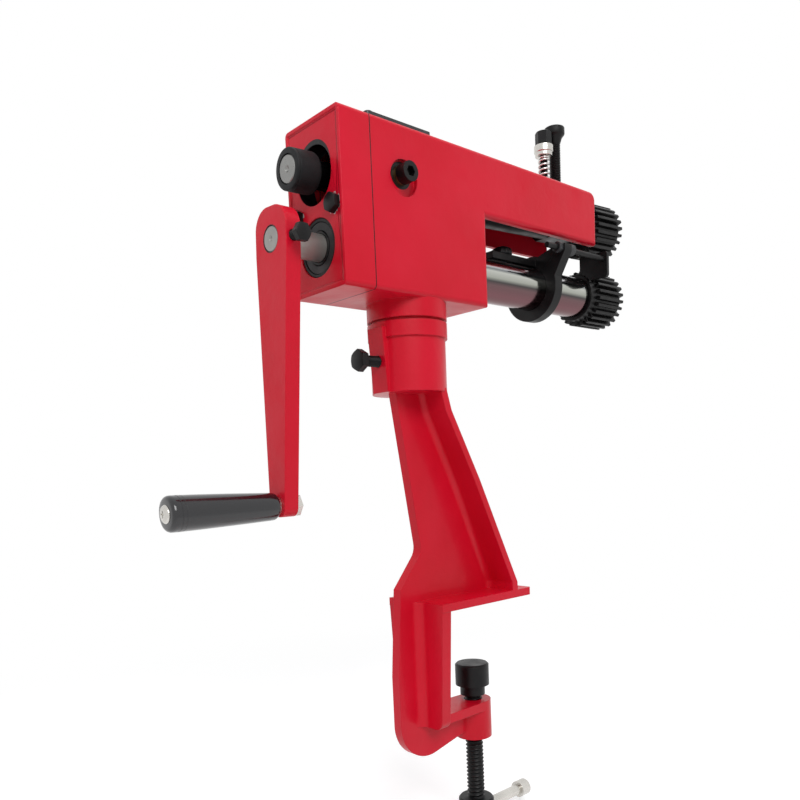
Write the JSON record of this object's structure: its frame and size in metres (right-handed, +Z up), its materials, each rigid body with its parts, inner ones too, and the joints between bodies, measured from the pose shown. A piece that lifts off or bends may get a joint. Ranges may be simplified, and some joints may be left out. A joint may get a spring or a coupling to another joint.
{
  "type": "bead roller",
  "caption": "Hand cranked bead roller with toothed rolls on a long throat head, swivelling on a bench clamp pedestal.",
  "frame": {"origin": "on the clamp screw's axis, in the plane of the bench top that the foot rests on", "axes": "+X from the crank to the rolls, along the lower shaft; +Z up"},
  "size_m": [0.568, 0.092, 0.724],
  "materials": {
    "red_enamel": "gloss",
    "black_oxide": "satin",
    "bright_steel": "ground",
    "nickel": "satin",
    "chrome": "polished",
    "grip_black": "gloss",
    "bronze": "machined",
    "spring_steel": "bright"
  },
  "bodies": {
    "pedestal": {"pedestal": "red_enamel"},
    "lock_bolt": {"lock_bolt": "black_oxide"},
    "clamp_pad": {"clamp_pad": "black_oxide"},
    "clamp_screw": {"clamp_screw": "black_oxide"},
    "tommy_bar": {"tommy_bar": "nickel", "tommy_bar_front_cap": "nickel", "tommy_bar_rear_cap": "nickel"},
    "head": {"head_casting": "red_enamel", "rear_cover": "red_enamel", "cover_bolts": "black_oxide", "inspection_plate": "black_oxide", "plate_screws": "black_oxide", "pivot_screws": "black_oxide", "trunnion_bushes": "bronze", "lower_tube": "chrome", "lower_front_bush": "bronze", "lower_rear_bearing": "bright_steel", "spring_seat_washer": "nickel", "spring": "spring_steel"},
    "lower_shaft": {"lower_shaft": "bright_steel", "lower_gear": "bright_steel", "lower_gear_key": "bright_steel", "lower_roll_key": "bright_steel", "lower_spacer_ring": "black_oxide", "lower_roll": "black_oxide", "lower_roll_nut": "black_oxide", "crank_arm": "red_enamel", "crank_set_screw": "black_oxide", "grip_spindle": "nickel", "grip_nut": "nickel"},
    "grip": {"grip": "grip_black"},
    "carrier": {"carrier_sleeve": "black_oxide", "carrier_rear_bush": "bronze", "carrier_front_bush": "bronze"},
    "upper_shaft": {"upper_shaft": "bright_steel", "upper_gear": "bright_steel", "upper_gear_key": "bright_steel", "upper_roll_key": "bright_steel", "upper_spacer_ring": "black_oxide", "upper_roll": "black_oxide", "upper_roll_nut": "black_oxide", "alignment_collar": "black_oxide"},
    "pressure_shoe": {"pressure_shoe": "bright_steel"},
    "pressure_screw": {"pressure_screw": "black_oxide"},
    "spring_bolt": {"spring_bolt": "black_oxide", "spring_bolt_washers": "nickel"},
    "gauge": {"gauge_bracket": "black_oxide", "gauge_nuts": "black_oxide"},
    "thumb_screw": {"thumb_screw": "black_oxide"},
    "fence": {"fence_rod": "black_oxide", "fence_plate": "black_oxide"}
  },
  "joints": [
    {"name": "head_swivel", "type": "hinge", "parent": "pedestal", "child": "head", "pos_m": [-0.0695, 0, 0.25], "axis": [0, 0, 1], "continuous": true},
    {"name": "lock_bolt_turn", "type": "hinge", "parent": "pedestal", "child": "lock_bolt", "pos_m": [-0.11, 0, 0.2265], "axis": [1, 0, 0], "range_deg": [-180, 0]},
    {"name": "clamp_travel", "type": "slide", "parent": "pedestal", "child": "clamp_pad", "axis": [0, 0, 1], "range_m": [0, 0.055]},
    {"name": "clamp_turn", "type": "hinge", "parent": "clamp_pad", "child": "clamp_screw", "pos_m": [0, 0, -0.15], "axis": [0, 0, 1], "continuous": true},
    {"name": "tommy_bar_slide", "type": "slide", "parent": "clamp_screw", "child": "tommy_bar", "axis": [1, 0, 0], "range_m": [-0.045, 0.045]},
    {"name": "crank_turn", "type": "hinge", "parent": "head", "child": "lower_shaft", "pos_m": [-0.15, 0, 0.3148], "axis": [1, 0, 0], "continuous": true},
    {"name": "grip_spin", "type": "hinge", "parent": "lower_shaft", "child": "grip", "pos_m": [-0.26, 0.01282, 0.10519], "axis": [1, 0, 0], "continuous": true},
    {"name": "carrier_tilt", "type": "hinge", "parent": "head", "child": "carrier", "pos_m": [-0.1, 0, 0.3758], "axis": [0, 1, 0], "range_deg": [0, 3.3]},
    {"name": "upper_shaft_spin", "type": "hinge", "parent": "carrier", "child": "upper_shaft", "pos_m": [-0.1, 0, 0.3758], "axis": [0.9989, 0, 0.0471], "continuous": true},
    {"name": "pressure_travel", "type": "slide", "parent": "head", "child": "pressure_shoe", "axis": [0, 0, -1], "range_m": [0, 0.0149]},
    {"name": "pressure_turn", "type": "hinge", "parent": "pressure_shoe", "child": "pressure_screw", "pos_m": [0.158, 0, 0.45], "axis": [0, 0, -1], "continuous": true},
    {"name": "spring_bolt_travel", "type": "slide", "parent": "head", "child": "spring_bolt", "axis": [0, 0, -1], "range_m": [0, 0.01375], "deforming": ["spring"]},
    {"name": "gauge_slide", "type": "slide", "parent": "head", "child": "gauge", "axis": [1, 0, 0], "range_m": [-0.035, 0.001]},
    {"name": "thumb_screw_turn", "type": "hinge", "parent": "gauge", "child": "thumb_screw", "pos_m": [0.0655, 0, 0.345], "axis": [0, 0, 1], "range_deg": [0, 180]},
    {"name": "fence_slide", "type": "slide", "parent": "gauge", "child": "fence", "axis": [1, 0, 0], "range_m": [-0.03, 0]}
  ],
  "couplings": [
    {"joint": "clamp_turn", "follows": "clamp_travel", "rad_per_m": 1570.8},
    {"joint": "upper_shaft_spin", "follows": "crank_turn", "ratio": -1},
    {"joint": "pressure_travel", "follows": "carrier_tilt", "m_per_rad": 0.2584},
    {"joint": "pressure_turn", "follows": "carrier_tilt", "ratio": 927.76},
    {"joint": "spring_bolt_travel", "follows": "carrier_tilt", "m_per_rad": 0.2385}
  ]
}
